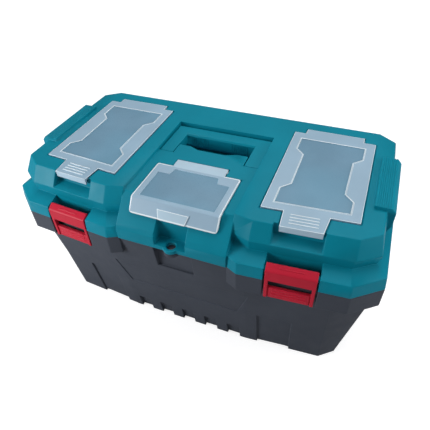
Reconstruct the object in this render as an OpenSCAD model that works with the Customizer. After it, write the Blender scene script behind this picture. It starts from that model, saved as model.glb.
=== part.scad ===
// Tool box of moulded plastic: a tub, a hinged lid with three parts bins under
// their own clear lids, a fold-down handle, two front latches and a lift-out tray.
// The origin is the middle of the bottom. X runs along the length, the front
// looks to -Y and +Z is up.

/* [Box] */
// Overall length over the flange
box_l = 428; // [400:2:500]
// Overall depth, from the front corners of the flange to the hinge barrels
box_d = 240; // [230:2:280]
// Height of the tub up to the parting line
base_h = 159; // [140:1:200]
// Height of the lid shell above the parting line
lid_h = 51; // [48:0.5:60]
// Wall thickness of the tub and the lid
wall_t = 2.8; // [2.2:0.1:3.4]
// Thickness of the tub floor
floor_t = 3; // [2.5:0.1:5]

/* [Flange and facets] */
// Height of the lid's flange face
flange_h = 15; // [12:0.5:18]
// Height of the flange's sloped top
slope_h = 5.5; // [4:0.5:7]
// Height of the upright neck above the flange
neck_h = 12.5; // [10:0.5:15]
// Height of the band under the tub's rim
band_h = 25; // [22:0.5:30]
// Width of the centre section between the two end modules
centre_w = 125; // [120:1:136]
// How far the centre section's top lies below the modules' top
centre_drop = 4.2; // [3:0.1:6]

/* [Tub] */
// How far the tub wall leans out for each millimetre of height
tub_lean = 0.142; // [0.12:0.002:0.16]
// Height of the feet under the tub
foot_h = 1.5; // [1:0.5:3]
// Distance from foot to foot along the front
foot_pitch = 31.5; // [28:0.5:34]
// Height of the recesses between the feet
foot_recess_h = 25; // [18:1:30]

/* [Handle] */
// Width of each handle arm
arm_w = 16.5; // [14:0.5:19]
// Depth of the grip bar, front to rear
grip_d = 18.5; // [16:0.5:22]
// Height of the grip bar
grip_h = 21; // [17:0.5:24]
// Length of the handle from its pivot to the rear of the grip
handle_l = 54; // [50:0.5:58]
// Radius of the arms' round pivot ends
arm_r = 6.3; // [5:0.1:6.8]
// Diameter of the handle's pivot stubs
stub_d = 6; // [4:0.1:7]

/* [Bins] */
// From the end of the box to a side bin's lid
bin_out_in = 35.5; // [34:0.5:40]
// From the centre section to a side bin's lid
bin_inner_in = 21; // [19:0.5:25]
// Depth of a side bin's lid, front to rear
bin_lid_l = 145; // [130:1:148]
// From the side of the centre section to the centre bin's lid
mid_lid_in = 12.5; // [10.5:0.5:20]
// Thickness of the bin lids
bin_lid_t = 2.2; // [1.8:0.1:2.6]
// Depth of the bins under their lids
bin_depth = 31; // [24:1:34]
// Wall thickness of the bins
bin_wall = 2; // [1.6:0.1:2.4]
// Diameter of the bin lids' hinge barrels
barrel_d = 3; // [2.4:0.1:3.2]

/* [Latches] */
// How far each latch stands in from the middle of its bin's lid
latch_shift = 2.5; // [0:0.5:5]
// Width of a latch
latch_w = 50; // [42:1:54]
// Thickness of the latch plate
latch_t = 4.7; // [4:0.1:5.2]
// Diameter of the latch pins
latch_pin_d = 3.5; // [2.5:0.1:4]

/* [Hinges] */
// From the end of the box to the middle of each rear hinge
hinge_in = 94; // [70:1:110]
// Length of each rear hinge
hinge_l = 60; // [50:1:80]
// Outer radius of the hinge barrels
hinge_r = 4; // [3.6:0.1:4.6]
// Diameter of the hinge pins
hinge_pin_d = 3.5; // [2.5:0.1:4]

/* [Padlock eye] */
// Diameter of the hole for a padlock
eye_bore_d = 10.5; // [8:0.5:11]
// Radius of the eye's round end
eye_r = 9.1; // [8.6:0.1:9.2]
// Thickness of the lid's eye
eye_t = 5; // [4:0.5:7]

/* [Tray] */
// Room between each end of the lift-out tray and the tub
tray_end_gap = 19.6; // [18:0.1:40]
// Room between the lift-out tray and the tub, in front and behind
tray_long_gap = 10.9; // [9:0.1:25]
// Height of the tray's sides
tray_h = 38; // [25:1:42]
// Wall thickness of the tray
tray_t = 2; // [1.6:0.1:3]
// Height of the tray's carrying bar above its floor
tray_bar_h = 46; // [40:1:48]

/* [Hidden] */
$fn = 48;

// Overrun of cuts past a face, and of joined blocks into each other
cut = 1;
// Gap between the tub's rim and the lid
part_gap = 0.3;
// Play all round the handle and the bin lids' hinge tabs in their recesses
play = 0.6;
// Play all round a bin lid in its seat, and the gap under it
seat_play = 1.2;
seat_gap = 0.3;
// Radial clearance of a pin in its bore
pin_gap = 0.05;

// Slope of the modules' fronts in plan
bow_slope = 0.075;
// Flange: width and depth of its outer corners, then of its inner corners
flange_cw = 28.5;
flange_cd = 22;
flange_inner_w = 12.5;
flange_inner_d = 6;
// Lean of the flange's top edge
rim_in = 1.5;
// Facet: setback from the flange at the front, side and rear, then its corners
facet_in_f = 16.5;
facet_in_s = 10.5;
facet_in_r = 4.6;
facet_cw = 21.5;
facet_cd = 15;
facet_inner_w = 19.5;
facet_inner_d = 6.5;
// Undercut of the neck below the facet, then setback of the centre lid's edge and the end pads
neck_in = 2.2;
edge_in = 0.7;
// Top: setback from the flange at the front, side and rear, then its corners
top_in_f = 27.5;
top_in_s = 14.2;
top_in_r = 6.6;
top_cw = 19;
top_cd = 14.5;
top_inner_d = 4;

// Levels of the parts
z_part = base_h + part_gap;
z_rim = base_h + flange_h;
z_neck = z_rim + slope_h;
z_facet = z_neck + neck_h;
z_top = base_h + lid_h;
z_mid = z_top - centre_drop;
// Half widths and the ends of the depth
half_l = box_l / 2;
half_d = box_d / 2;
mid_x = centre_w / 2;
corner_x = mid_x + flange_inner_w;
hinge_y = half_d - hinge_r;
hinge_clear = 0.4;
hinge_x = half_l - hinge_in;
rear_y = hinge_y - hinge_r - hinge_clear;
bow_angle = atan(bow_slope);
// Side bins' lids and the latches in front of them
bin_lid_w = half_l - mid_x - bin_out_in - bin_inner_in;
bin_x = half_l - bin_out_in - bin_lid_w / 2;
latch_x = bin_x - latch_shift;

// Tub wall: setback from the band at the rim, and the middle stretch of its front
band_out = 3.5;
tub_front_in = 6.4;
tub_rear_in = 5;
tub_front = half_d - tub_front_in;
tub_rear = rear_y - tub_rear_in;
tub_side = half_l - band_out;
tub_bend_x = 80;
tub_corner_in = 39.5;
tub_corner_x = tub_side - tub_corner_in;
tub_corner_d = 20;
tub_corner_lean = 0.04;

// Feet and what is sunk into the tub's long walls
foot_w = 15;
foot_gap_count = 5;
foot_ring_w = 14;
foot_recess_d = 3.2;
plinth_t = foot_recess_d + wall_t;
panel_w = 40;
panel_in = 37;
panel_x = tub_corner_x - panel_in - panel_w;
panel_h = 70;
panel_d = 2;
badge_w_top = 168;
badge_w_low = 140;
badge_z = 67;
badge_h = 41;
badge_d = 0.9;
lean_angle = atan(tub_lean);

// Rim: thickness of the band's skirt and roof, and the lip that the lid closes over
skirt_t = 3;
skirt_roof = 4;
lip_h = 3;
lip_t = 1.6;
lip_gap = 0.7;

// Latch gap in the flange, in the frame of on_front(), and the latch in it
gap_margin = 1.8;
gap_w = latch_w + 2 * gap_margin;
gap_d = facet_in_f + neck_in;
cheek_t = 3;
latch_y = 0.3;
latch_back_y = latch_y + latch_t;
latch_z = base_h - band_h - cut;
latch_pivot_y = 6;
latch_pivot_drop = 3.5;
latch_pivot_z = z_rim - latch_pivot_drop;
latch_clear = 0.4;
head_y = 9.6;
head_rise = 3.5;
head_z = z_rim + head_rise;
head_slope_y = 7.5;
head_drop = 1.3;
head_low = 4;
head_rib_w = 24;
head_rib_r = 0.6;
nose_y = 1.5;
nose_drop = 0.5;
nose_chin = 2;
window_margin = 3.5;
window_w = latch_w - 2 * window_margin;
window_h = 10.8;
window_drop = 11;
window_z = base_h - window_drop;
tongue_d = 1;
slit_w = 0.8;
slit_d = 2;
rib_w = 34;
rib_h = 1.6;
rib_step = 3.8;
rib_count = 3;
rib_proud = 0.7;
catch_h = 5;
deck_h = 3;

// Padlock eye in the middle of the front, and the recess over it
eye_in = 9.2;
eye_y = eye_in - half_d;
eye_recess_w = 36;
eye_recess_d = 9.5;
eye_recess_y = eye_y + eye_recess_d;
eye_recess_z = z_facet - cut;
pit_w = 44;
pit_in = 15;
pit_y = pit_in - half_d;
pit_h = 37;

// Rear hinges: five barrels each, three on the tub and two on the lid
barrel_gap = 0.4;
barrel_count = 5;
barrel_step = hinge_l / barrel_count;
web_h = 11;
web_gap = 0.4;

// Ledges that carry the tray at the tub's ends
ledge_drop = 50;
ledge_z = base_h - ledge_drop;
ledge_h = 8;
ledge_w = 60;
ledge_in = 5;
tray_gap = 0.3;
tray_in = tub_lean * ledge_drop + wall_t;
tray_x = tub_side - tray_in - tray_end_gap;
tray_front = tray_in + tray_long_gap + bow_slope * (tub_corner_x - tub_bend_x) - tub_front;
tray_rear = tub_rear - tray_in - tray_long_gap;
tray_y = (tray_front + tray_rear) / 2;
tray_bar_t = 5;
tray_slot_w = 96;
tray_slot_h = 22;
tray_slot_top = 8;

// Centre section of the lid: setbacks of its front, from the parting line up
mid_face_in = 4.4;
mid_low_in = 8;
mid_bend_in = 32;

// Handle and its recess
handle_gap = 1.3;
handle_w = centre_w - 2 * handle_gap;
handle_front_y = -4.9;
pivot_y = handle_front_y + arm_r;
pivot_z = z_mid - arm_r;
grip_y1 = pivot_y + handle_l;
grip_y0 = grip_y1 - grip_d;
grip_round = 6;
grip_edge = 2;
handle_rear_gap = 1.4;
deck_y = grip_y1 + handle_rear_gap;
swing_r = arm_r * sqrt(2) + play * 0.6;
arm_gap = 1.2;
stub_l = 3.5;
boss_t = 6;
panel_rear = 12;
panel_rear_y = pivot_y + panel_rear;
panel_step_y = 5;
panel_step_w = 46;
panel_step_slant = 6;
well_gap = 1;
groove_w = 0.9;
groove_d = 0.5;
groove_step = 2.4;
groove_count = 9;
groove_x = 16;

// Bin lids and their seats
lid_proud = 0.8;
seat_d = bin_lid_t - lid_proud + seat_gap;
bin_lid_rear = 77.5;
bin_lid_front = bin_lid_rear - bin_lid_l;
bin_rim = 5;
bin_front_rim = 8;
hinge_tab_in = 13.5;
hinge_tab_w = bin_lid_w - 2 * hinge_tab_in;
hinge_tab_d = 10;
axis_in = 3.4;
axis_drop = 2.4;
tab_swing_r = 5.2;
barrel_stub = 3;
snap_in = 2.5;
snap_tip_in = 4.5;
snap_w = latch_w - 2 * snap_in;
snap_tip_w = latch_w - 2 * snap_tip_in;
snap_l = 23;
snap_lip_t = 2;
snap_lip_h = 7.5;
snap_rib_w = 28;
snap_rib_h = 0.7;
snap_rib_t = 1.2;
snap_rib_step = 4.2;
snap_rib_count = 4;
slot_margin = -0.5;
slot_w = latch_w + 2 * slot_margin;
slot_y = 30;
slot_drop = 14;
slot_z = z_top - slot_drop;
glass_in = 10;
glass_rear_in = 12;
glass_front_in = 10;
glass_notch = 9.5;
glass_slant = 10;
glass_d = 0.7;
glass_notch_shares = [0.26, 0.72];

// Centre bin's lid: its rear edge, bend, lower edge and the height it reaches down
mid_lid_rear = -32;
mid_lid_bend = 25;
mid_lid_end = 15.5;
mid_lid_w = centre_w - 2 * mid_lid_in;
mid_tab_in = 19;
mid_tab_w = mid_lid_w - 2 * mid_tab_in;
mid_tab_d = 13.5;
mid_snap_w = 36;
mid_snap_tip_w = 30;
mid_snap_l = 11;
mid_snap_t = 1.2;
mid_bin_w = mid_lid_w - 2 * bin_rim;
mid_bin_rear = mid_lid_rear - bin_rim;
mid_bin_in = 25;
mid_bin_front = mid_bin_in - half_d;
mid_bin_top = 34;

// Ribbed pads over the lid's ends
pad_w = 12.5;
pad_h = 4;
pad_y0 = -37;
pad_y1 = 51;
pad_over = 5;
pad_chamfer = 5;
pad_groove_count = 7;
pad_groove_step = 2;

// Front of a module at x, set back from the flange by in
function front_y(x, in) = in - half_d + bow_slope * (x - corner_x);

// Plan outline of the right module, from a row [in_f, in_s, in_r, cw, cd, iw, id],
// with its walls moved in by t and its inner end at x = xi
function module_pts(r, xi, t) =
    let (x1 = mid_x + r[5], x2 = half_l - r[1] - r[3], x3 = half_l - r[1] - t,
         y3 = rear_y - r[2] - t)
    [[xi, front_y(x1, r[0] + t) + r[6]], [x1, front_y(x1, r[0] + t)],
     [x2, front_y(x2, r[0] + t)], [x3, front_y(x2, r[0]) + r[4]],
     [x3, rear_y - r[2] - r[4]], [x2, y3], [xi, y3]];
flange_row = [0, 0, 0, flange_cw, flange_cd, flange_inner_w, flange_inner_d];
rim_row = [rim_in, rim_in, rim_in, flange_cw, flange_cd, flange_inner_w, flange_inner_d];
neck_row = [facet_in_f + neck_in, facet_in_s + neck_in, facet_in_r + neck_in,
            facet_cw, facet_cd, facet_inner_w, facet_inner_d];
facet_row = [facet_in_f, facet_in_s, facet_in_r, facet_cw, facet_cd, facet_inner_w, facet_inner_d];
top_row = [top_in_f, top_in_s, top_in_r, top_cw, top_cd, facet_inner_w, top_inner_d];

// Plan outline of the tub wall at height z, moved in by t
function tub_pts(z, t) =
    let (drop = tub_lean * (base_h - z),
         f = tub_front - drop - t, s = tub_side - drop - t, b = tub_rear - drop - t,
         k = tub_corner_d - tub_corner_lean * (base_h - z),
         e = bow_slope * (tub_corner_x - tub_bend_x) - f)
    [[-tub_bend_x, -f], [tub_bend_x, -f], [tub_corner_x, e], [s, e + k],
     [s, b - k], [tub_corner_x, b], [-tub_corner_x, b], [-s, b - k],
     [-s, e + k], [-tub_corner_x, e]];

// Tub wall between two heights, moved in by t
module tub_solid(z0, z1, t) {
    loft([[z0, tub_pts(z0, t)], [z1, tub_pts(z1, t)]]);
}

// Solid through a stack of outlines, each [z, points], all of the same count
module loft(levels) {
    n = len(levels[0][1]);
    top = len(levels) - 1;
    points = [for (l = levels, p = l[1]) [p[0], p[1], l[0]]];
    low = [for (k = [0 : top - 1], i = [0 : n - 1])
        [k * n + i, (k + 1) * n + i, (k + 1) * n + (i + 1) % n]];
    high = [for (k = [0 : top - 1], i = [0 : n - 1])
        [k * n + i, (k + 1) * n + (i + 1) % n, k * n + (i + 1) % n]];
    ends = [[for (i = [0 : n - 1]) i], [for (i = [0 : n - 1]) top * n + n - 1 - i]];
    polyhedron(points, concat(ends, low, high));
}

// Prism of a profile in Y and Z, from x0 to x1
module along_x(x0, x1, profile) {
    translate([x0, 0, 0]) rotate([90, 0, 90]) linear_extrude(x1 - x0) polygon(profile);
}

// Prism of a plan outline, from z0 to z1
module upright(z0, z1, outline) {
    translate([0, 0, z0]) linear_extrude(z1 - z0) polygon(outline);
}

// Box between two corners
module block(a, b) {
    translate(a) cube(b - a);
}

// Round bar along X at depth y and height z
module bar_x(x0, x1, y, z, r) {
    translate([x0, y, z]) rotate([0, 90, 0]) cylinder(h = x1 - x0, r = r);
}

// The children on the right and, mirrored, on the left
module both_sides() {
    children();
    mirror([1, 0, 0]) children();
}

// The children on the side s, where 1 is the right and -1 the left
module on_side(s) {
    mirror([s < 0 ? 1 : 0, 0, 0]) children();
}

// Frame on the right module's flange face: X along the face, +Y into the box
module on_front() {
    translate([latch_x, front_y(latch_x, 0), 0]) rotate([0, 0, bow_angle]) children();
}

// Frame on a leaning long wall at x: the front's for f = -1, the rear's for f = 1
module on_wall(x, f) {
    y = f < 0 ? tub_lean * base_h - tub_front : tub_rear - tub_lean * base_h;
    translate([x, y, 0]) mirror([0, f > 0 ? 1 : 0, 0]) rotate([lean_angle, 0, 0]) children();
}

// Thickenings inside the tub wall, behind what is sunk into its outside
module tub_pads() {
    difference() {
        tub_solid(0, foot_recess_h + wall_t, 0);
        tub_solid(-cut, foot_recess_h + wall_t + cut, plinth_t);
    }
    both_sides() difference() {
        block([panel_x - wall_t, -half_d, 0], [panel_x + panel_w + wall_t, half_d, panel_h + wall_t]);
        tub_solid(-cut, panel_h + wall_t + cut, wall_t + panel_d);
    }
    block([-pit_w / 2 - wall_t, -half_d, base_h - pit_h - wall_t],
          [pit_w / 2 + wall_t, pit_y + wall_t, base_h + 2 * cut]);
}

module tub_shell() {
    difference() {
        tub_solid(0, base_h, 0);
        difference() {
            tub_solid(foot_h + floor_t, base_h + cut, wall_t);
            tub_pads();
        }
        loft([[-cut, tub_pts(0, foot_ring_w)], [foot_h, tub_pts(0, foot_ring_w)]]);
    }
}

// Ring inside the rim that the lid closes over, with gaps for the latches and the eye
module tub_lip() {
    z = base_h - lip_h;
    difference() {
        union() {
            loft([[z, tub_pts(z, wall_t / 2)], [base_h - part_gap, tub_pts(z, wall_t / 2)]]);
            loft([[z, tub_pts(z, wall_t + lip_gap)],
                  [base_h + lip_h, tub_pts(z, wall_t + lip_gap)]]);
        }
        loft([[z - cut, tub_pts(z, wall_t + lip_gap + lip_t)],
              [base_h + lip_h + cut, tub_pts(z, wall_t + lip_gap + lip_t)]]);
        block([-pit_w / 2 - wall_t, -half_d, z - cut], [pit_w / 2 + wall_t, 0, base_h + lip_h + cut]);
        both_sides() on_front()
            block([-gap_w / 2 - cheek_t - wall_t, -cut, z - cut],
                  [gap_w / 2 + cheek_t + wall_t, half_d / 2, base_h + lip_h + cut]);
    }
}

// Band round the rim of each module and along the rear, open below
module tub_band() {
    z = base_h - band_h;
    difference() {
        union() {
            both_sides() loft([[z, module_pts(flange_row, mid_x, 0)],
                               [base_h, module_pts(flange_row, mid_x, 0)]]);
            block([-mid_x - cut, tub_rear - 2 * wall_t, z], [mid_x + cut, rear_y, base_h]);
        }
        difference() {
            union() {
                both_sides() loft([[z - cut, module_pts(flange_row, mid_x + skirt_t, skirt_t)],
                    [base_h - skirt_roof, module_pts(flange_row, mid_x + skirt_t, skirt_t)]]);
                block([-mid_x - skirt_t - cut, tub_rear - 3 * wall_t, z - cut],
                      [mid_x + skirt_t + cut, rear_y - skirt_t, base_h - skirt_roof]);
            }
            both_sides() on_front() block([-gap_w / 2 - cheek_t, -cut, z - 2 * cut],
                                          [gap_w / 2 + cheek_t, half_d / 4, base_h]);
        }
        tub_solid(z - 2 * cut, base_h + cut, wall_t / 2);
        both_sides() on_front() block([-gap_w / 2, -cut, z - cut], [gap_w / 2, half_d / 4, base_h + cut]);
    }
}

// Catch nose behind the latch window, and the deck that closes the rim there
module tub_catch() {
    block([-window_w / 2 + cut, latch_back_y + latch_clear, base_h - cut - catch_h],
          [window_w / 2 - cut, latch_back_y + 3 * wall_t, base_h - cut]);
    block([-gap_w / 2 - cut, latch_back_y + wall_t, base_h - deck_h],
          [gap_w / 2 + cut, gap_d + wall_t, base_h]);
}

// Recesses between the feet, wide panels and, in front, the bare badge field
module tub_wall_cuts() {
    w = foot_pitch - foot_w;
    for (f = [-1, 1]) {
        for (k = [0 : foot_gap_count - 1])
            on_wall((k - (foot_gap_count - 1) / 2) * foot_pitch - w / 2, f) {
                translate([0, -cut, -cut]) cube([w, cut + foot_recess_d, cut + foot_recess_h]);
                translate([0, -cut, -cut]) cube([w, cut + foot_ring_w, cut + foot_h]);
            }
        both_sides() on_wall(panel_x, f)
            translate([0, f < 0 ? bow_slope * (panel_x - tub_bend_x) : 0, 0])
            rotate([0, 0, f < 0 ? bow_angle : 0]) {
                translate([0, -cut, -cut]) cube([panel_w, cut + panel_d, cut + panel_h]);
                translate([0, -cut, -cut]) cube([panel_w, cut + foot_ring_w, cut + foot_h]);
            }
    }
    on_wall(0, -1) translate([0, badge_d, 0]) rotate([90, 0, 0]) linear_extrude(badge_d + cut)
        polygon([[-badge_w_low / 2, badge_z], [badge_w_low / 2, badge_z],
                 [badge_w_top / 2, badge_z + badge_h], [-badge_w_top / 2, badge_z + badge_h]]);
}

// Barrels of one rear hinge: the even ones are the tub's, the odd ones the lid's
module hinge_barrels(first) {
    for (k = [first : 2 : barrel_count - 1]) {
        x0 = hinge_x - hinge_l / 2 + k * barrel_step + barrel_gap / 2;
        x1 = x0 + barrel_step - barrel_gap;
        difference() {
            union() {
                bar_x(x0, x1, hinge_y, base_h, hinge_r);
                if (first == 0)
                    along_x(x0, x1, [[rear_y - cut, base_h - web_h], [hinge_y, base_h - hinge_r],
                                     [hinge_y, base_h], [rear_y - cut, base_h]]);
                else
                    along_x(x0, x1, [[rear_y - cut, z_part + web_gap], [hinge_y, z_part + web_gap],
                                     [hinge_y, base_h + hinge_r], [rear_y - cut, base_h + web_h]]);
            }
            bar_x(x0 - cut, x1 + cut, hinge_y, base_h, hinge_pin_d / 2 + pin_gap);
        }
    }
}

module base_tub() {
    color([0.17, 0.19, 0.22]) {
        difference() {
            union() {
                tub_shell();
                tub_band();
                tub_lip();
                both_sides() on_front() tub_catch();
                both_sides() block([tray_x - ledge_in, tray_y - ledge_w / 2, ledge_z - ledge_h],
                    [tub_side - tub_lean * ledge_drop - wall_t / 2, tray_y + ledge_w / 2, ledge_z]);
            }
            tub_wall_cuts();
            block([-pit_w / 2, -half_d - cut, base_h - pit_h], [pit_w / 2, pit_y, base_h + cut]);
        }
        difference() {
            union() {
                translate([0, eye_y, base_h - eye_t]) cylinder(h = eye_t - part_gap, r = eye_r - part_gap);
                block([part_gap - eye_r, eye_y, base_h - eye_t],
                      [eye_r - part_gap, pit_y + wall_t / 2, base_h - part_gap]);
            }
            translate([0, eye_y, base_h - eye_t - cut]) cylinder(h = eye_t + 2 * cut, d = eye_bore_d);
        }
        both_sides() hinge_barrels(0);
    }
}

// Outer form of the lid: two modules and the lower centre section between them
module lid_outer() {
    both_sides() loft([[z_part, module_pts(flange_row, mid_x, 0)],
                       [z_rim, module_pts(rim_row, mid_x, 0)],
                       [z_neck, module_pts(neck_row, mid_x, 0)],
                       [z_facet, module_pts(facet_row, mid_x, 0)],
                       [z_top, module_pts(top_row, mid_x, 0)]]);
    along_x(-mid_x - cut / 2, mid_x + cut / 2,
            [[mid_face_in - half_d, z_part], [rear_y, z_part], [rear_y - rim_in, z_rim],
             [rear_y - facet_in_r - neck_in, z_neck], [rear_y - facet_in_r, z_facet],
             [rear_y - top_in_r, z_top], [deck_y, z_top], [deck_y, z_mid],
             [mid_bend_in - half_d, z_mid], [mid_low_in - half_d, z_neck],
             [mid_face_in - half_d, z_rim]]);
}

// Hollow of the lid, before the walls of the bins and recesses are left standing in it
module lid_hollow() {
    t = wall_t;
    both_sides() loft([[z_part - cut, module_pts(flange_row, mid_x + t, t)],
                       [z_rim - t / 2, module_pts(rim_row, mid_x + t, t)],
                       [z_neck - t, module_pts(neck_row, mid_x + t, t)],
                       [z_facet - t / 3, module_pts(facet_row, mid_x + t, t)],
                       [z_top - t, module_pts(top_row, mid_x + t, t)]]);
    along_x(t - mid_x, mid_x - t,
            [[mid_face_in - half_d + t, z_part - cut], [rear_y - t, z_part - cut],
             [rear_y - rim_in - t, z_rim - t / 2], [rear_y - facet_in_r - neck_in - t, z_neck - t],
             [rear_y - facet_in_r - t, z_facet - t / 3], [rear_y - top_in_r - t, z_top - t],
             [deck_y + t, z_top - t], [deck_y + t, z_mid - t],
             [mid_bend_in - half_d + t / 2, z_mid - t], [mid_low_in - half_d + t, z_neck],
             [mid_face_in - half_d + t, z_rim]]);
    block([-mid_x - t - cut, mid_bend_in - half_d + t, z_part - cut],
          [mid_x + t + cut, rear_y - facet_in_r - 2 * t, z_mid - t - cut]);
    block([-mid_x - t - cut, mid_face_in + 1.5 * t - half_d, z_part - cut],
          [mid_x + t + cut, rear_y - rim_in - 1.5 * t, z_rim - t]);
}

bin_x0 = bin_x - bin_lid_w / 2 + bin_rim;
bin_x1 = bin_x + bin_lid_w / 2 - bin_rim;
bin_y0 = bin_lid_front + bin_front_rim;
bin_y1 = bin_lid_rear - bin_rim;
bin_z = z_top - seat_d - bin_depth;
mid_bin_z = z_mid - seat_d - bin_depth;
axis_y = bin_lid_rear + hinge_tab_d - axis_in;
mid_axis_y = mid_lid_rear + mid_tab_d - axis_in;
well_z = z_mid - grip_h - well_gap;

// Solid that stays in the hollow round a lid's hinge, where the barrel turns
module hinge_seat(x, y, z, w) {
    block([x - w / 2 - barrel_stub - 2 * wall_t, y - tab_swing_r - bin_wall, z - tab_swing_r - bin_wall],
          [x + w / 2 + barrel_stub + 2 * wall_t, y + tab_swing_r + bin_wall, z + axis_drop]);
}

// Room for the hinge tab's swing, and the bores for its stubs
module hinge_room(x, y, z, w) {
    bar_x(x - w / 2 - play, x + w / 2 + play, y, z, tab_swing_r);
    bar_x(x - w / 2 - barrel_stub - play, x + w / 2 + barrel_stub + play, y, z,
          barrel_d / 2 + pin_gap);
}

// What is left standing in the hollow
module lid_walls() {
    both_sides() {
        block([bin_x0 - bin_wall, bin_y0 - bin_wall, bin_z - bin_wall],
              [bin_x1 + bin_wall, bin_y1 + bin_wall, z_top]);
        hinge_seat(bin_x, axis_y, z_top - axis_drop, hinge_tab_w);
        on_front() {
            block([-gap_w / 2 - cheek_t, -cut, z_part - cut],
                  [gap_w / 2 + cheek_t, gap_d + wall_t, z_neck]);
            along_x(-slot_w / 2 - wall_t, slot_w / 2 + wall_t,
                    [[gap_d - cut, z_facet - wall_t], [slot_y + wall_t, slot_z - wall_t],
                     [slot_y + wall_t, z_top], [gap_d - cut, z_top]]);
        }
    }
    block([-mid_bin_w / 2 - bin_wall, mid_bin_front - bin_wall, mid_bin_z - bin_wall],
          [mid_bin_w / 2 + bin_wall, mid_bin_rear + bin_wall, z_mid]);
    hinge_seat(0, mid_axis_y, z_mid - axis_drop, mid_tab_w);
    block([-mid_x - boss_t, pivot_y - swing_r - wall_t, well_z - wall_t],
          [mid_x + boss_t, deck_y + wall_t, z_mid]);
    block([-eye_recess_w / 2 - wall_t, -half_d, z_part - cut],
          [eye_recess_w / 2 + wall_t, eye_recess_y + wall_t, eye_recess_z + wall_t]);
}

// Plan outline of a side bin's lid, grown by g
function bin_lid_pts(g) =
    let (x0 = bin_x - bin_lid_w / 2 - g, x1 = bin_x + bin_lid_w / 2 + g,
         s = snap_w / 2 + g, p = snap_tip_w / 2 + g, h = hinge_tab_w / 2 + g,
         f = bin_lid_front - g, y1 = bin_lid_rear + g, y2 = y1 + hinge_tab_d)
    [[x0, f + bow_slope * (x0 - bin_x)], [latch_x - s, f + bow_slope * (latch_x - s - bin_x)],
     [latch_x - p, f - snap_l + bow_slope * (latch_x - p - bin_x)],
     [latch_x + p, f - snap_l + bow_slope * (latch_x + p - bin_x)],
     [latch_x + s, f + bow_slope * (latch_x + s - bin_x)], [x1, f + bow_slope * (x1 - bin_x)],
     [x1, y1], [bin_x + h, y1], [bin_x + h, y2], [bin_x - h, y2], [bin_x - h, y1], [x0, y1]];

// Recess of the handle: two arm slots that open into the hand well
module handle_recess() {
    inner = handle_w / 2 - arm_w - arm_gap;
    both_sides() {
        block([inner, pivot_y, pivot_z - arm_r - play], [mid_x, deck_y, z_mid + cut]);
        block([inner, handle_front_y - play, pivot_z], [mid_x, pivot_y + cut, z_mid + cut]);
        bar_x(inner, mid_x, pivot_y, pivot_z, swing_r);
        bar_x(mid_x - cut, mid_x + stub_l, pivot_y, pivot_z, stub_d / 2 + pin_gap);
    }
    upright(well_z, z_mid + cut,
            [[-mid_x, deck_y], [-mid_x, panel_rear_y], [-panel_step_w / 2 - panel_step_slant, panel_rear_y],
             [-panel_step_w / 2 + panel_step_slant, panel_rear_y - panel_step_y],
             [panel_step_w / 2 - panel_step_slant, panel_rear_y - panel_step_y],
             [panel_step_w / 2 + panel_step_slant, panel_rear_y], [mid_x, panel_rear_y],
             [mid_x, deck_y]]);
}

module lid_cuts() {
    both_sides() {
        block([bin_x0, bin_y0, bin_z], [bin_x1, bin_y1, z_top + cut]);
        upright(z_top - seat_d, z_top + cut, bin_lid_pts(seat_play));
        hinge_room(bin_x, axis_y, z_top - axis_drop, hinge_tab_w);
        on_front() {
            block([-gap_w / 2, -2 * cut, z_part - cut], [gap_w / 2, gap_d, z_neck]);
            along_x(-slot_w / 2, slot_w / 2,
                    [[facet_in_f - cut, z_facet], [slot_y, slot_z], [slot_y, z_top + cut],
                     [facet_in_f - cut, z_top + cut]]);
            bar_x(-gap_w / 2 - cheek_t - cut, gap_w / 2 + cheek_t + cut, latch_pivot_y, latch_pivot_z,
                  latch_pin_d / 2 + pin_gap);
        }
    }
    along_x(-mid_bin_w / 2, mid_bin_w / 2,
            [[mid_bin_rear, mid_bin_z], [mid_bin_rear, z_mid + cut],
             [mid_bin_top - half_d, z_mid + cut], [mid_bin_top - half_d, z_mid - 2 * seat_d],
             [mid_bin_front, z_facet], [mid_bin_front, mid_bin_z]]);
    block([-mid_lid_w / 2 - seat_play, -half_d, z_mid - seat_d],
          [mid_lid_w / 2 + seat_play, mid_lid_rear + seat_play, z_mid + 2 * centre_drop]);
    block([-mid_tab_w / 2 - seat_play, mid_lid_rear, z_mid - seat_d],
          [mid_tab_w / 2 + seat_play, mid_lid_rear + mid_tab_d + seat_play, z_mid + cut]);
    hinge_room(0, mid_axis_y, z_mid - axis_drop, mid_tab_w);
    handle_recess();
    block([-eye_recess_w / 2, -half_d - cut, z_part + eye_t],
          [eye_recess_w / 2, eye_recess_y, eye_recess_z]);
    translate([0, eye_y, z_part - cut]) cylinder(h = eye_t + 2 * cut, d = eye_bore_d);
}

// Pad over one end, with fine grooves along its top
module end_pad() {
    x0 = half_l - top_in_s - pad_w;
    x1 = half_l - top_in_s + pad_over - edge_in;
    x2 = half_l - facet_in_s + pad_over;
    difference() {
        translate([0, pad_y1, 0]) rotate([90, 0, 0]) linear_extrude(pad_y1 - pad_y0)
            polygon([[x0, z_top - cut], [x1 - pad_chamfer, z_facet], [x1 - pad_chamfer, z_neck + cut],
                     [x2 - pad_over, z_neck + cut], [x2, z_facet], [x2, z_top - cut],
                     [x1, z_top + pad_h], [x0, z_top + pad_h]]);
        for (k = [0 : pad_groove_count - 1])
            translate([x0 + (k + 1) * pad_groove_step, pad_y0 - cut, z_top + pad_h - groove_d])
                cube([groove_w, pad_y1 - pad_y0 + 2 * cut, groove_d + cut]);
    }
}

module lid_shell() {
    color([0.05, 0.5, 0.6]) {
        difference() {
            union() {
                lid_outer();
                translate([0, eye_y, z_part]) cylinder(h = eye_t, r = eye_r);
                both_sides() end_pad();
            }
            difference() {
                lid_hollow();
                lid_walls();
            }
            lid_cuts();
        }
        both_sides() hinge_barrels(1);
    }
}

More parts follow.
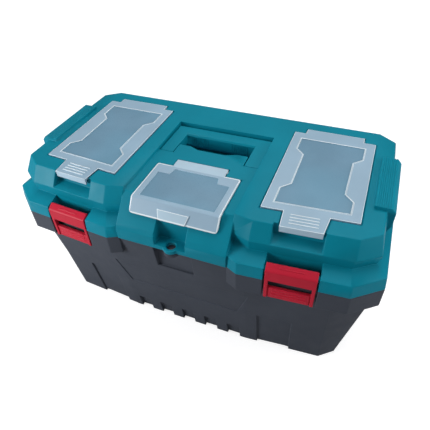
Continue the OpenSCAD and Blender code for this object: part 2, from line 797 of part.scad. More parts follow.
module handle() {
    w = handle_w / 2;
    color([0.04, 0.53, 0.63]) difference() {
        union() {
            both_sides() {
                block([w - arm_w, handle_front_y, z_mid - 2 * arm_r], [w, grip_y1 - grip_round, z_mid]);
                bar_x(w - cut, w + stub_l, pivot_y, pivot_z, stub_d / 2);
            }
            along_x(-w, w,
                    [[grip_y0, z_mid - grip_edge], [grip_y0, z_mid - grip_h + grip_round],
                     [grip_y0 + grip_round / 3, z_mid - grip_h + grip_round / 3],
                     [grip_y0 + grip_round, z_mid - grip_h], [grip_y1 - grip_round, z_mid - grip_h],
                     [grip_y1 - grip_round / 3, z_mid - grip_h + grip_round / 3],
                     [grip_y1, z_mid - grip_h + grip_round], [grip_y1, z_mid - grip_edge],
                     [grip_y1 - grip_edge, z_mid], [grip_y0 + grip_edge, z_mid]]);
        }
        both_sides() {
            translate([w, grip_y1, z_mid - grip_h - cut]) rotate([0, 0, 45])
                cube([grip_round, grip_round, 2 * grip_h], center = true);
            for (k = [0 : groove_count - 1])
                translate([groove_x + k * groove_step, grip_y0 - cut, z_mid - grip_h - cut])
                    cube([groove_w, cut + groove_d, grip_h - grip_edge]);
        }
    }
}

// One latch in the frame of on_front(), with the bore that its pin passes through
module latch() {
    rib_z = latch_z + 3 * rib_h;
    difference() {
        union() {
            difference() {
                along_x(-latch_w / 2, latch_w / 2,
                        [[latch_y, latch_z], [latch_y, z_rim - nose_chin], [nose_y, z_rim - nose_drop],
                         [head_slope_y, head_z], [head_y, head_z - head_drop],
                         [head_y, latch_pivot_z - head_low], [latch_back_y, latch_pivot_z - 1.5 * head_low],
                         [latch_back_y, latch_z]]);
                block([-window_w / 2, latch_y - cut, latch_z - cut],
                      [window_w / 2, latch_y + tongue_d, window_z + cut]);
                for (s = [-1, 1])
                    translate([s * (window_w / 2 - slit_w / 2) - slit_w / 2, latch_y - cut, latch_z - cut])
                        cube([slit_w, cut + slit_d, window_z - latch_z + 2 * cut]);
            }
            bar_x(-head_rib_w / 2, head_rib_w / 2, (nose_y + head_slope_y) / 2,
                  (z_rim - nose_drop + head_z) / 2, head_rib_r);
            for (k = [0 : rib_count - 1])
                block([-rib_w / 2, latch_y + tongue_d - rib_proud, rib_z + k * rib_step],
                      [rib_w / 2, latch_y + tongue_d + cut, rib_z + k * rib_step + rib_h]);
        }
        block([-window_w / 2, latch_y - cut, window_z],
              [window_w / 2, latch_back_y + cut, window_z + window_h]);
        bar_x(-latch_w / 2 - cut, latch_w / 2 + cut, latch_pivot_y, latch_pivot_z,
              latch_pin_d / 2 + pin_gap);
    }
}

module latch_left() {
    color([0.8, 0.15, 0.24]) on_side(-1) on_front() latch();
}

module latch_right() {
    color([0.8, 0.15, 0.24]) on_side(1) on_front() latch();
}

// Pin of one latch, in the cheeks of the gap
module latch_pin() {
    l = gap_w + 2 * cheek_t - part_gap;
    on_front() bar_x(-l / 2, l / 2, latch_pivot_y, latch_pivot_z, latch_pin_d / 2);
}

module latch_pin_left() {
    color([0.7, 0.7, 0.72]) on_side(-1) latch_pin();
}

module latch_pin_right() {
    color([0.7, 0.7, 0.72]) on_side(1) latch_pin();
}

module hinge_pin() {
    bar_x(hinge_x - hinge_l / 2, hinge_x + hinge_l / 2, hinge_y, base_h, hinge_pin_d / 2);
}

module hinge_pin_left() {
    color([0.7, 0.7, 0.72]) on_side(-1) hinge_pin();
}

module hinge_pin_right() {
    color([0.7, 0.7, 0.72]) on_side(1) hinge_pin();
}

// Outline of the sunk window in a side bin's lid, narrower along its middle
function glass_pts() =
    let (x0 = bin_x - bin_lid_w / 2 + glass_in, x1 = bin_x + bin_lid_w / 2 - glass_in,
         y0 = bin_lid_front + glass_front_in, y1 = bin_lid_rear - glass_rear_in,
         a = y0 + (y1 - y0) * glass_notch_shares[0], b = y0 + (y1 - y0) * glass_notch_shares[1],
         n = glass_notch, c = glass_slant)
    [[x0, y0 + bow_slope * (x0 - bin_x)], [x1, y0 + bow_slope * (x1 - bin_x)],
     [x1, a - c], [x1 - n, a], [x1 - n, b], [x1, b + c], [x1, y1],
     [x0, y1], [x0, b + c], [x0 + n, b], [x0 + n, a], [x0, a - c]];

module bin_lid() {
    z1 = z_top + lid_proud;
    z0 = z1 - bin_lid_t;
    tip_y = bin_lid_front - snap_l - front_y(latch_x, 0);
    tip_x = bow_slope * tip_y;
    rib_x = bow_slope * (tip_y + snap_l / 2);
    difference() {
        upright(z0, z1, bin_lid_pts(0));
        upright(z1 - glass_d, z1 + cut, glass_pts());
    }
    bar_x(bin_x - hinge_tab_w / 2 - barrel_stub, bin_x + hinge_tab_w / 2 + barrel_stub,
          axis_y, z_top - axis_drop, barrel_d / 2);
    on_front() {
        block([tip_x - snap_tip_w / 2, tip_y, z1 - snap_lip_h],
              [tip_x + snap_tip_w / 2, tip_y + snap_lip_t, z1 - cut / 2]);
        for (k = [1 : snap_rib_count])
            block([rib_x - snap_rib_w / 2, tip_y + snap_l - k * snap_rib_step - snap_rib_t, z1 - cut],
                  [rib_x + snap_rib_w / 2, tip_y + snap_l - k * snap_rib_step, z1 + snap_rib_h]);
    }
}

module bin_lid_left() {
    color([0.75, 0.85, 0.9, 0.6]) on_side(-1) bin_lid();
}

module bin_lid_right() {
    color([0.75, 0.85, 0.9, 0.6]) on_side(1) bin_lid();
}

// Centre bin's lid: flat top, then a slope down over the front, and its snap tab
module bin_lid_centre() {
    z1 = z_mid + lid_proud;
    z0 = z1 - bin_lid_t;
    yb = mid_lid_bend - half_d;
    ye = mid_lid_end - half_d;
    zl = z_facet - edge_in;
    mid_lid_angle = -atan((yb - ye) / (z1 - bin_lid_t / 2 - zl));
    color([0.75, 0.85, 0.9, 0.6]) {
        difference() {
            along_x(-mid_lid_w / 2, mid_lid_w / 2,
                    [[mid_lid_rear, z0], [mid_lid_rear, z1], [yb + bin_lid_t, z1],
                     [yb, z1 - bin_lid_t / 2], [ye, zl], [ye + bin_lid_t, zl],
                     [yb + bin_lid_t, z0]]);
            upright(z1 - glass_d, z1 + cut,
                    [[-mid_bin_w / 2 + bin_rim / 2, yb + bin_rim / 2 + bin_lid_t],
                     [mid_bin_w / 2 - bin_rim / 2, yb + bin_rim / 2 + bin_lid_t],
                     [mid_bin_w / 2 - bin_rim / 2, mid_lid_rear - 3 * bin_rim],
                     [mid_tab_w / 2 - bin_rim / 2, mid_lid_rear - 3 * bin_rim],
                     [mid_tab_w / 2 - bin_rim, mid_lid_rear - bin_rim],
                     [bin_rim - mid_tab_w / 2, mid_lid_rear - bin_rim],
                     [bin_rim / 2 - mid_tab_w / 2, mid_lid_rear - 3 * bin_rim],
                     [-mid_bin_w / 2 + bin_rim / 2, mid_lid_rear - 3 * bin_rim]]);
        }
        translate([0, ye, zl]) rotate([mid_lid_angle, 0, 0])
            translate([0, -mid_snap_t, 0]) rotate([90, 0, 0]) mirror([0, 0, 1])
            linear_extrude(mid_snap_t + bin_lid_t / 2)
            polygon([[-mid_snap_tip_w / 2, 0], [mid_snap_tip_w / 2, 0],
                     [mid_snap_w / 2, mid_snap_l], [-mid_snap_w / 2, mid_snap_l]]);
        block([-mid_tab_w / 2, mid_lid_rear - cut, z0], [mid_tab_w / 2, mid_lid_rear + mid_tab_d, z1]);
        bar_x(-mid_tab_w / 2 - barrel_stub, mid_tab_w / 2 + barrel_stub,
              mid_axis_y, z_mid - axis_drop, barrel_d / 2);
    }
}

// Lift-out tray: two long compartments either side of a carrying bar
module tote_tray() {
    z = ledge_z + tray_gap;
    x = tray_x;
    bar_y0 = tray_y - tray_bar_t / 2;
    bar_y1 = tray_y + tray_bar_t / 2;
    color([0.16, 0.17, 0.19]) difference() {
        union() {
            block([-x, tray_front, z], [x, tray_rear, z + tray_h]);
            block([-x, bar_y0, z], [x, bar_y1, z + tray_bar_h]);
        }
        block([tray_t - x, tray_front + tray_t, z + tray_t], [x - tray_t, bar_y0, z + tray_h + cut]);
        block([tray_t - x, bar_y1, z + tray_t], [x - tray_t, tray_rear - tray_t, z + tray_h + cut]);
        block([-tray_slot_w / 2, tray_y - tray_bar_t, z + tray_bar_h - tray_slot_top - tray_slot_h],
              [tray_slot_w / 2, tray_y + tray_bar_t, z + tray_bar_h - tray_slot_top]);
    }
}

base_tub();
lid_shell();
handle();
latch_left();
latch_right();
bin_lid_left();
bin_lid_right();
bin_lid_centre();
tote_tray();
hinge_pin_left();
hinge_pin_right();
latch_pin_left();
latch_pin_right();
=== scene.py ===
import math

import bmesh
import bpy
from mathutils import Matrix, Vector
from mathutils.bvhtree import BVHTree
from mathutils.kdtree import KDTree


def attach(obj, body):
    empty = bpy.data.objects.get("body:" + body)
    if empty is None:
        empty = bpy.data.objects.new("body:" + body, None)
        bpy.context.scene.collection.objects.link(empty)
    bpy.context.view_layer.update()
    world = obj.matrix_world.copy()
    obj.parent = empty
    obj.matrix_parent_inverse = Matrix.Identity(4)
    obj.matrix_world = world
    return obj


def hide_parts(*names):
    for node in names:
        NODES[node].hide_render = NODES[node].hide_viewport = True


bl_info = {
    "name": "Plastic tool box",
    "version": (1, 0, 0),
    "blender": (4, 5, 0),
    "location": "View3D > Sidebar > Tool Box",
    "description": "Dresses the packed tool box: shells, handle, latches, clear lids and tray",
    "category": "Object",
}

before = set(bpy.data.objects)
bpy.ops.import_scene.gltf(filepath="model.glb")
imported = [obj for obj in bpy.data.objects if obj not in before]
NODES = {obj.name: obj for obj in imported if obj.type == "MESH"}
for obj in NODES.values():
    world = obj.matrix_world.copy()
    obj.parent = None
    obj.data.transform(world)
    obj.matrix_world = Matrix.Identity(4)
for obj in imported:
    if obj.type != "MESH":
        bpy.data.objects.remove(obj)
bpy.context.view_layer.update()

# One millimetre in the scene's metres
MM = 0.001

# Material slots of the clear bin lids; what isn't painted stays border, which is slot 0. The rim
# slot carries a pale painted highlight along outlines, beads and the centre snap's border
WINDOW, HIGHLIGHT_RIM, UNDERSIDE, TABS = range(1, 5)

# A face counts as level, or as looking forward, from this much of its normal on, and as lying
# at a height when its middle is this near to it in mm
LEVEL, FORWARD, NEAR = 0.9, 0.8, 0.05

# Rounding of edges: the share of the room beside an edge that its rounding may take, how far the
# rounded skin may leave the sharp one as a share of the width, and what passes for a sliver and
# for touching
ROOM_SHARE, DRIFT_SHARE = 0.42, 0.55
SLIVER, TOUCHING = 0.002 * MM * MM, 0.02 * MM

# Places of a Mix node's sockets: its two colours and their result, its two numbers
COLOUR_A, COLOUR_B, COLOUR_OUT, NUMBER_A, NUMBER_B = 6, 7, 2, 2, 3

# Where the latches stand: the middle of each on the lid's front, turned with the slant there
LATCH_X, LATCH_Y = 128.5 * MM, -115.99 * MM
LATCH_TURN = math.radians(4.289)
LATCH_PIVOT_Y, LATCH_PIVOT_Z = 6 * MM, 170.5 * MM


class ToolBoxSettings(bpy.types.PropertyGroup):
    """Colours and edge sizes of the tool box"""

    lid_colour: bpy.props.FloatVectorProperty(
        name="Lid", description="Teal of the lid and the handle", subtype="COLOR", size=3,
        min=0, max=1, default=(0.002, 0.22, 0.31))
    tub_colour: bpy.props.FloatVectorProperty(
        name="Tub", description="Charcoal of the tub", subtype="COLOR", size=3,
        min=0, max=1, default=(0.06, 0.069, 0.089))
    tray_colour: bpy.props.FloatVectorProperty(
        name="Tray", description="Grey of the lift-out tray", subtype="COLOR", size=3,
        min=0, max=1, default=(0.075, 0.083, 0.1))
    latch_colour: bpy.props.FloatVectorProperty(
        name="Latches", description="Red of the latches", subtype="COLOR", size=3,
        min=0, max=1, default=(0.52, 0.018, 0.042))
    frost_colour: bpy.props.FloatVectorProperty(
        name="Clear lids", description="Tint of the frosted bin lids", subtype="COLOR", size=3,
        min=0, max=1, default=(0.35, 0.51, 0.65))
    window_colour: bpy.props.FloatVectorProperty(
        name="Windows", description="Tint of the windows in the clear lids", subtype="COLOR",
        size=3, min=0, max=1, default=(0.33, 0.58, 0.79))
    # Pale tint painted along the clear lids' outlines and beads as a highlight
    rim_highlight_colour: bpy.props.FloatVectorProperty(
        name="Rims", description="Tint of the clear lids' thick rims and beads",
        subtype="COLOR", size=3, min=0, max=1, default=(0.82, 0.92, 0.98))
    tab_colour: bpy.props.FloatVectorProperty(
        name="Tabs", description="Tint of the clear lids' hinge and snap tabs", subtype="COLOR",
        size=3, min=0, max=1, default=(0.48, 0.65, 0.78))
    shell_round: bpy.props.FloatProperty(
        name="Shell edges", description="Width of the rounding along the shells' edges",
        subtype="DISTANCE", unit="LENGTH", min=0.0001, max=0.003, default=0.001)


def settings():
    return bpy.context.scene.tool_box


# ---- materials


def new_material(name):
    """An empty node material with its Principled shader"""
    material = bpy.data.materials.new(name)
    material.use_nodes = True
    tree = material.node_tree
    return material, tree, tree.nodes["Principled BSDF"]


def link(tree, a, out, b, into):
    tree.links.new(a.outputs[out], b.inputs[into])


def object_noise(tree, scale, detail, roughness=0.5):
    """Noise on Object coordinates; scale is in features per metre"""
    coords = tree.nodes.new("ShaderNodeTexCoord")
    noise = tree.nodes.new("ShaderNodeTexNoise")
    noise.inputs["Scale"].default_value = scale
    noise.inputs["Detail"].default_value = detail
    noise.inputs["Roughness"].default_value = roughness
    link(tree, coords, "Object", noise, "Vector")
    return noise


def ramp(tree, source, out, low, high, colour_low, colour_high):
    node = tree.nodes.new("ShaderNodeValToRGB")
    node.color_ramp.elements[0].position = low
    node.color_ramp.elements[0].color = (*colour_low, 1)
    node.color_ramp.elements[1].position = high
    node.color_ramp.elements[1].color = (*colour_high, 1)
    link(tree, source, out, node, "Fac")
    return node


def combine(tree, operation, first, first_out, second, second_out=None):
    """Math node on one output and either another output or a number"""
    node = tree.nodes.new("ShaderNodeMath")
    node.operation = operation
    link(tree, first, first_out, node, 0)
    if second_out:
        link(tree, second, second_out, node, 1)
    else:
        node.inputs[1].default_value = second
    return node


def map_range(tree, source, out, low, high, least, most):
    """Brings an output that runs from low to high into the range from least to most"""
    node = tree.nodes.new("ShaderNodeMapRange")
    node.inputs["From Min"].default_value = low
    node.inputs["From Max"].default_value = high
    node.inputs["To Min"].default_value = least
    node.inputs["To Max"].default_value = most
    link(tree, source, out, node, "Value")
    return node


def shade(colour, factor):
    return tuple(min(1, c * factor) for c in colour)


def wear_and_highlight_edges(tree, radius, low, high):
    """Rounded normal, and a mask that is white where it leaves the face's own: along the edges"""
    rounded = tree.nodes.new("ShaderNodeBevel")
    rounded.samples = 6
    rounded.inputs["Radius"].default_value = radius
    geometry = tree.nodes.new("ShaderNodeNewGeometry")
    dot = tree.nodes.new("ShaderNodeVectorMath")
    dot.operation = "DOT_PRODUCT"
    link(tree, rounded, "Normal", dot, 0)
    link(tree, geometry, "Normal", dot, 1)
    return rounded, ramp(tree, dot, "Value", low, high, (1, 1, 1), (0, 0, 0))


def blend_colours(tree, factor, out, tone, other, shader):
    """Base colour that goes from a ramp's tone to another colour by a factor"""
    mix = tree.nodes.new("ShaderNodeMix")
    mix.data_type = "RGBA"
    link(tree, factor, out, mix, "Factor")
    link(tree, tone, "Color", mix, COLOUR_A)
    mix.inputs[COLOUR_B].default_value = (*other, 1)
    link(tree, mix, COLOUR_OUT, shader, "Base Color")


def vary_roughness(tree, noise, low, high, least, most, shader):
    """Roughness that follows a noise"""
    rough = ramp(tree, noise, "Fac", low, high, (least,) * 3, (most,) * 3)
    link(tree, rough, "Color", shader, "Roughness")


def grain_bump(tree, noise, strength, depth, rounded, shader):
    """Bump of a noise on top of the rounded normal"""
    bump = tree.nodes.new("ShaderNodeBump")
    bump.inputs["Strength"].default_value = strength
    bump.inputs["Distance"].default_value = depth
    link(tree, noise, "Fac", bump, "Height")
    link(tree, rounded, "Normal", bump, "Normal")
    link(tree, bump, "Normal", shader, "Normal")


def moulded_plastic(name, colour, rough, grain, grain_depth, edge_light):
    """Moulded plastic with a fine grain, faint flow marks and paler edges, part wear and part
    painted highlight
    """
    material, tree, shader = new_material(name)
    flow_scale, gloss_scale, worn_and_highlight_tone = 14, 60, 2.2
    flow = object_noise(tree, flow_scale, 3)
    tone = ramp(tree, flow, "Fac", 0.3, 0.7, shade(colour, 0.93), shade(colour, 1.07))
    # Paler edges: part wear, part painted highlight along the rounded edges
    rounded, edge = wear_and_highlight_edges(tree, 1.1 * MM, 0.86, 0.99)
    wear_and_highlight = combine(tree, "MULTIPLY", edge, "Color", edge_light)
    blend_colours(tree, wear_and_highlight, "Value", tone, shade(colour, worn_and_highlight_tone), shader)
    gloss = object_noise(tree, gloss_scale, 4)
    vary_roughness(tree, gloss, 0.3, 0.75, rough - 0.05, rough + 0.07, shader)
    shader.inputs["Specular IOR Level"].default_value = 0.1
    grain_bump(tree, object_noise(tree, grain, 2, 0.6), 0.35, grain_depth, rounded, shader)
    return material


def frosted_plastic(name, colour, alpha, rough, edge_light=1.5):
    """Translucent plastic with a faint cloudiness, less clear along its edges and whiter there as
    a painted highlight
    """
    material, tree, shader = new_material(name)
    cloud_scale, grain_scale, edge_alpha, haze = 22, 900, 0.95, 0.015
    rounded, edge = wear_and_highlight_edges(tree, 0.8 * MM, 0.85, 0.985)
    cloud = object_noise(tree, cloud_scale, 2)
    tint = ramp(tree, cloud, "Fac", 0.3, 0.7, shade(colour, 0.97), shade(colour, 1.03))
    # Painted highlight: the tint turns whiter along the edges
    blend_colours(tree, edge, "Color", tint, shade(colour, edge_light), shader)
    veil = ramp(tree, cloud, "Fac", 0.35, 0.7, (alpha - haze,) * 3, (alpha + haze,) * 3)
    near_edge = combine(tree, "MULTIPLY", edge, "Color", edge_alpha)
    most = combine(tree, "MAXIMUM", near_edge, "Value", veil, "Color")
    most.use_clamp = True
    link(tree, most, "Value", shader, "Alpha")
    grain = object_noise(tree, grain_scale, 2)
    vary_roughness(tree, grain, 0.3, 0.7, rough - 0.05, rough + 0.08, shader)
    grain_bump(tree, grain, 0.2, 0.02 * MM, rounded, shader)
    return material


def drawn_steel(name):
    """Steel rod with fine lines drawn along X"""
    material, tree, shader = new_material(name)
    stretch, line_scale = 0.05, 4000
    coords = tree.nodes.new("ShaderNodeTexCoord")
    mapping = tree.nodes.new("ShaderNodeMapping")
    mapping.inputs["Scale"].default_value = (stretch, 1, 1)
    noise = tree.nodes.new("ShaderNodeTexNoise")
    noise.inputs["Scale"].default_value = line_scale
    link(tree, coords, "Object", mapping, "Vector")
    link(tree, mapping, "Vector", noise, "Vector")
    tone = ramp(tree, noise, "Fac", 0.3, 0.7, (0.42, 0.42, 0.43), (0.6, 0.6, 0.62))
    link(tree, tone, "Color", shader, "Base Color")
    vary_roughness(tree, noise, 0.3, 0.7, 0.25, 0.42, shader)
    shader.inputs["Metallic"].default_value = 1
    return material


def give(piece, *materials):
    piece.data.materials.clear()
    for material in materials:
        piece.data.materials.append(material)


# ---- mesh helpers


def deselect():
    if bpy.context.object and bpy.context.object.mode != "OBJECT":
        bpy.ops.object.mode_set(mode="OBJECT")
    bpy.ops.object.select_all(action="DESELECT")


def pick(piece):
    """Selects one piece alone and makes it active"""
    deselect()
    piece.select_set(True)
    bpy.context.view_layer.objects.active = piece


def copy_of_node(node, name, split=True):
    """A piece of its own with a node's form, its corners joined and its flat faces whole"""
    piece = bpy.data.objects.new(name, NODES[node].data.copy())
    bpy.context.scene.collection.objects.link(piece)
    pick(piece)
    bpy.ops.object.mode_set(mode="EDIT")
    bpy.ops.mesh.select_all(action="SELECT")
    bpy.ops.mesh.remove_doubles(threshold=0.01 * MM)
    bpy.ops.mesh.dissolve_limited(angle_limit=math.radians(0.5))
    bpy.ops.mesh.select_mode(type="FACE")
    if split:
        split_faces(piece)
    bpy.ops.object.mode_set(mode="OBJECT")
    return piece


def unselected_mesh(piece):
    """Goes to object mode with nothing of the piece's mesh selected, and returns that mesh"""
    bpy.ops.object.mode_set(mode="OBJECT")
    mesh = piece.data
    for part in (mesh.vertices, mesh.edges, mesh.polygons):
        part.foreach_set("select", [False] * len(part))
    return mesh


def choose(piece, test):
    """Selects in edit mode the faces that pass a test of the face and its middle in mm"""
    for face in unselected_mesh(piece).polygons:
        face.select = test(face, face.center / MM)
    bpy.ops.object.mode_set(mode="EDIT")


def on_level(face, middle, height, up=1):
    """Whether a face looks up, or down with up=-1, and lies at a height in mm"""
    return up * face.normal.z > LEVEL and abs(middle.z - height) < NEAR


def split_faces(piece):
    """Cuts faces of many corners up, so that rounding one edge leaves the far ones alone"""
    most_corners = 6
    choose(piece, lambda face, middle: len(face.vertices) > most_corners)
    bpy.ops.mesh.quads_convert_to_tris(ngon_method="BEAUTY")


def round_corners(piece, corners, radius):
    """Rounds the short edges through a plate's thickness whose middles lie at given corners"""
    near_corner = 0.4
    mesh = unselected_mesh(piece)
    for edge in mesh.edges:
        ends = [mesh.vertices[index].co / MM for index in edge.vertices]
        middle = (ends[0] + ends[1]) / 2
        edge.select = any((middle - Vector(corner)).length < near_corner for corner in corners)
    bpy.ops.object.mode_set(mode="EDIT")
    bpy.ops.mesh.select_mode(type="EDGE")
    bpy.ops.mesh.bevel(offset=radius * MM, segments=4, affect="EDGES")
    bpy.ops.mesh.select_mode(type="FACE")


def paint(piece, slot):
    """Gives the selected faces a material slot of the piece"""
    bpy.ops.object.mode_set(mode="OBJECT")
    for face in piece.data.polygons:
        if face.select:
            face.material_index = slot
    bpy.ops.object.mode_set(mode="EDIT")


def edge_room(edge, sharp, widest):
    """How wide an edge can be rounded before the rounding runs past its neighbours"""
    room = widest
    for face in edge.link_faces:
        for corner in edge.verts:
            along = (edge.other_vert(corner).co - corner.co).normalized()
            for other in corner.link_edges:
                if other is edge or face not in other.link_faces:
                    continue
                away = (other.other_vert(corner).co - corner.co).normalized()
                turn = math.acos(max(-1, min(1, along.dot(away))))
                if other in sharp:
                    spare = min(other.calc_length(), edge.calc_length()) * math.tan(turn / 2)
                else:
                    spare = other.calc_length() * math.sin(turn)
                room = min(room, ROOM_SHARE * spare)
    return room


def astray(piece, skin, reach):
    """Points where the rounding has left the piece's own skin or folded over"""
    folded, edge_on = -0.5, 0
    graph = bpy.context.evaluated_depsgraph_get()
    graph.update()
    shown = piece.evaluated_get(graph)
    mesh = shown.to_mesh()
    points = []
    for vertex in mesh.vertices:
        if skin.find_nearest(vertex.co)[3] > reach:
            points.append(vertex.co.copy())
    mesh.calc_loop_triangles()
    for face in mesh.loop_triangles:
        if face.area < SLIVER:
            continue
        _, normal, _, away = skin.find_nearest(face.center)
        facing = normal.dot(face.normal)
        if away > reach or facing < folded or (away < TOUCHING and facing < edge_on):
            points += [mesh.vertices[index].co.copy() for index in face.vertices]
    shown.to_mesh_clear()
    return points


def soften(piece, widest, segments=3, angle=17, crease=3, rounds=7):
    """Rounds every edge sharper than angle as wide as it has room for, or not where that folds

    Edges that stay unrounded and turn by more than crease, in degrees too, are shaded sharp.
    """
    mesh = piece.data
    work = bmesh.new()
    work.from_mesh(mesh)
    work.verts.ensure_lookup_table()
    work.edges.ensure_lookup_table()
    sharp = {edge for edge in work.edges
             if len(edge.link_faces) == 2 and edge.calc_face_angle(0) > math.radians(angle)}
    rooms = [edge_room(edge, sharp, widest) / widest if edge in sharp else 0
             for edge in work.edges]
    skin = BVHTree.FromBMesh(work)
    corners = KDTree(len(work.verts))
    for vertex in work.verts:
        corners.insert(vertex.co, vertex.index)
    corners.balance()
    weights = mesh.attributes.new("bevel_weight_edge", "FLOAT", "EDGE")
    bevel = piece.modifiers.new("Round edges", "BEVEL")
    bevel.width = widest
    bevel.segments = segments
    bevel.limit_method = "WEIGHT"
    bevel.use_clamp_overlap = False
    for _ in range(rounds):
        weights.data.foreach_set("value", rooms)
        mesh.update()
        points = astray(piece, skin, DRIFT_SHARE * widest)
        if not points:
            break
        hit = {edge.index for point in points
               for edge in work.verts[corners.find(point)[1]].link_edges}
        for index in hit:
            rooms[index] = 0
    creases = [edge.calc_face_angle(0) > math.radians(crease) for edge in work.edges]
    work.free()
    weights = mesh.attributes["bevel_weight_edge"]
    weights.data.foreach_set("value", rooms)
    mesh.shade_smooth()
    mesh.edges.foreach_set("use_edge_sharp", [room == 0 and folded
                                              for room, folded in zip(rooms, creases)])
    even = piece.modifiers.new("Even shading", "WEIGHTED_NORMAL")
    even.keep_sharp = True
    pick(piece)
    bpy.ops.object.modifier_apply(modifier=bevel.name)
    bpy.ops.object.modifier_apply(modifier=even.name)


class TOOLBOX_OT_shells(bpy.types.Operator):
    """Rounds the lid and the tub and gives them their moulded finish"""

    bl_idname = "toolbox.shells"
    bl_label = "Lid and tub"

    def execute(self, context):
        s = settings()
        teal = moulded_plastic("teal_moulded", s.lid_colour, rough=0.42, grain=1500,
                               grain_depth=0.03 * MM, edge_light=0.25)
        charcoal = moulded_plastic("charcoal_moulded", s.tub_colour, rough=0.5, grain=1300,
                                   grain_depth=0.04 * MM, edge_light=0.2)
        for name, body, material, slot in (("lid_shell", "lid", teal, "lid_plastic"),
                                           ("base_tub", "base", charcoal, "tub_plastic")):
            shell = copy_of_node(name, name + "_moulded")
            soften(shell, s.shell_round)
            give(shell, material)
            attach(shell, body)
            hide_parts(name)
        return {"FINISHED"}


class TOOLBOX_OT_clear_lids(bpy.types.Operator):
    """Makes the three see-through bin lids with their windows, beads and pale rims; the pale of
    the rims and beads is a painted highlight
    """

    bl_idname = "toolbox.clear_lids"
    bl_label = "Clear bin lids"

    def execute(self, context):
        s = settings()
        frost = frosted_plastic("frosted_border", s.frost_colour, alpha=0.88, rough=0.4)
        window = frosted_plastic("frosted_window", s.window_colour, alpha=0.48, rough=0.3)
        # The pale rim material paints a highlight along outlines and beads
        pale = frosted_plastic("pale_rim_highlight", s.rim_highlight_colour, alpha=0.94, rough=0.35)
        under = frosted_plastic("clear_underside", s.window_colour, alpha=0.12, rough=0.3)
        milk = frosted_plastic("milky_tabs", s.tab_colour, alpha=0.9, rough=0.35,
                               edge_light=1.15)
        for name in ("bin_lid_right", "bin_lid_left", "bin_lid_centre"):
            lid = copy_of_node(name, name + "_clear", split=False)
            give(lid, frost, window, pale, under, milk)
            if name == "bin_lid_centre":
                self.centre_faces(lid)
            else:
                self.side_faces(lid)
            split_faces(lid)
            bpy.ops.object.mode_set(mode="OBJECT")
            soften(lid, 0.35 * MM, segments=2)
            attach(lid, name)
            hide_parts(name)
        return {"FINISHED"}

    @staticmethod
    def side_faces(lid):
        """Window with a raised bead round it, milky ribs, and a pale painted highlight on the bead
        and along the plate's outline; the snap lip's front is painted milky as light shining
        through it
        """
        top, floor, low = 210.8, 210.1, 208.6
        gap, bead_width, bead_height, highlight_rim_width = 0.2, 0.9, 1.0, 0.6
        raised, lip_y = top + 0.15, -86
        # Where the ribs of the snap tab stand, outward from the box's middle and along Y
        ribs_near, ribs_far, ribs_front, ribs_rear = 112, 144.5, -88, -69.5
        side = 1 if lid.name.startswith("bin_lid_right") else -1
        choose(lid, lambda face, middle: on_level(face, middle, low, up=-1))
        paint(lid, UNDERSIDE)
        choose(lid, lambda face, middle: on_level(face, middle, floor))
        bpy.ops.mesh.inset(thickness=gap * MM, use_boundary=True)
        paint(lid, HIGHLIGHT_RIM)
        bpy.ops.mesh.inset(thickness=bead_width * MM, use_boundary=True)
        paint(lid, WINDOW)
        choose(lid, lambda face, middle: face.normal.z > LEVEL and face.material_index == HIGHLIGHT_RIM)
        bpy.ops.mesh.extrude_region_move(
            TRANSFORM_OT_translate={"value": (0, 0, bead_height * MM)})
        choose(lid, lambda face, middle: on_level(face, middle, top))
        bpy.ops.mesh.inset(thickness=highlight_rim_width * MM, use_boundary=True)
        bpy.ops.mesh.select_all(action="INVERT")
        bpy.ops.object.mode_set(mode="OBJECT")
        for face in lid.data.polygons:
            middle = face.center / MM
            ribbed = (ribs_near < side * middle.x < ribs_far
                      and ribs_front < middle.y < ribs_rear)
            # The snap lip's forward faces get the lighter milky tint, painted light that stands in
            # for light shining through the lip
            if middle.y < lip_y and face.normal.y < -FORWARD and middle.z < top:
                face.material_index = TABS
            # Bead tops and the ring along the plate's outline get the pale rim, a painted
            # highlight
            elif middle.z > raised:
                face.material_index = TABS if ribbed and face.normal.z < LEVEL else HIGHLIGHT_RIM
            elif face.select and on_level(face, middle, top) and not ribbed:
                face.material_index = HIGHLIGHT_RIM
        bpy.ops.object.mode_set(mode="EDIT")

    @staticmethod
    def centre_faces(lid):
        """Window, milky rear tab and snap, a pale painted highlight along the outline and round
        the snap
        """
        floor, low, down = 205.9, 204.4, -0.2
        side, foot, rear, tab = 48.6, 192.8, -33.4, 30.2
        snap_x, snap_y, snap_z, snap_width = 18.1, -99.4, 196.5, 0.8
        # The plate's lower corners in front and its rear ones
        for y, z, radius in ((-103.4, 191.3, 3.5), (-32, 205.5, 2)):
            round_corners(lid, [(x, y, z) for x in (-50, 50)], radius)
        choose(lid, lambda face, middle: on_level(face, middle, low, up=-1))
        paint(lid, UNDERSIDE)
        choose(lid, lambda face, middle: on_level(face, middle, floor))
        paint(lid, WINDOW)
        for place, normal in (((side, 0, 0), (1, 0, 0)), ((-side, 0, 0), (1, 0, 0)),
                              ((0, 0, foot), (0, 0, 1)), ((0, rear, 0), (0, 1, 0))):
            bpy.ops.mesh.select_all(action="SELECT")
            bpy.ops.mesh.bisect(plane_co=Vector(place) * MM, plane_no=normal)
        # The pale rim along the plate's outline is a painted highlight
        choose(lid, lambda face, middle: face.normal.z > down and (
            abs(middle.x) > side or middle.z < foot or (middle.y > rear and abs(middle.x) > tab)))
        paint(lid, HIGHLIGHT_RIM)
        choose(lid, lambda face, middle: (
            face.normal.z > down and middle.y > rear and abs(middle.x) < tab))
        paint(lid, TABS)
        # The snap's front gets a pale border, a painted highlight, and a milky middle
        choose(lid, lambda face, middle: (
            face.normal.y < -FORWARD and abs(middle.x) < snap_x and middle.y < snap_y
            and abs(middle.z - snap_z) < 1))
        paint(lid, HIGHLIGHT_RIM)
        bpy.ops.mesh.inset(thickness=snap_width * MM)
        paint(lid, TABS)


